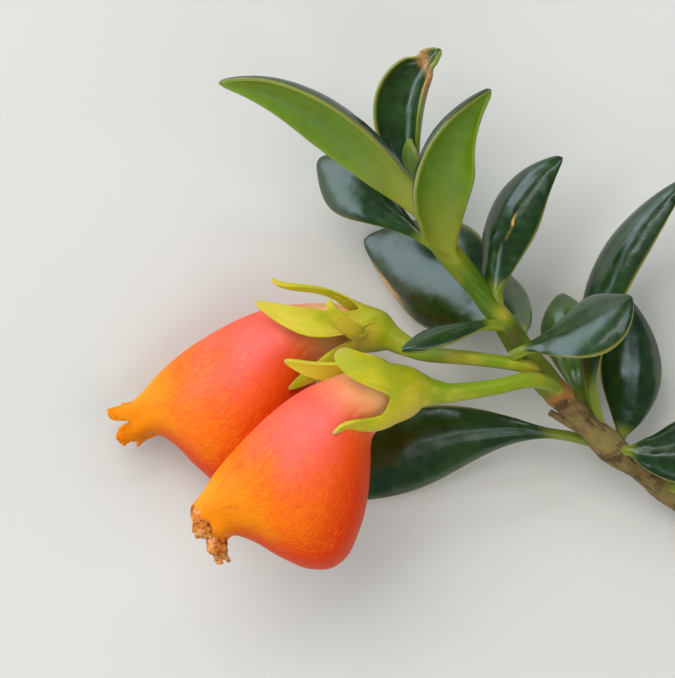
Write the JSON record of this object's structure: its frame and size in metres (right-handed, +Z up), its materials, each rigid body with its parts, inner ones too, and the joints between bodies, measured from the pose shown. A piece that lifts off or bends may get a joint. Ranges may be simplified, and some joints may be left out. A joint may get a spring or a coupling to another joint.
{
  "type": "cut flowering sprig of goldfish plant",
  "caption": "Cut sprig lying down: bent woody stem, green shoot, thick glossy oval leaves and plump orange pouch flowers in spreading green sepals.",
  "frame": {"origin": "middle of the sprig's footprint, on the surface it lies on", "axes": "+Z up from the surface, +X from the flowers towards the cut end of the stem, +Y towards the leafy tip"},
  "size_m": [0.0644, 0.052, 0.0213],
  "materials": {
    "bark": "rough brown bark",
    "young_green": "soft satin yellow green",
    "leaf_green": "thick waxy dark green, glossy above and light olive below",
    "calyx_green": "satin yellow green",
    "petal_orange": "satin orange, coral on the back and yellow at the mouth"
  },
  "bodies": {
    "root": {"woody_stem": "bark", "green_shoot": "young_green", "leaf_tip_bud": "young_green", "leaf_low_young": "young_green", "leaf_tip_left": "leaf_green", "leaf_tip_right": "leaf_green", "leaf_tip_inner": "leaf_green", "leaf_left_upper": "leaf_green", "leaf_left_lower": "leaf_green", "leaf_right_upper": "leaf_green", "leaf_behind_shoot": "leaf_green", "leaf_small_front": "leaf_green", "leaf_front_right": "leaf_green", "leaf_right_long": "leaf_green", "leaf_back_middle": "leaf_green", "leaf_back_right": "leaf_green", "leaf_lower_left": "leaf_green", "leaf_lower_right": "leaf_green", "calyx_front": "calyx_green", "calyx_back": "calyx_green", "corolla_front": "petal_orange", "corolla_back": "petal_orange"}
  },
  "joints": []
}
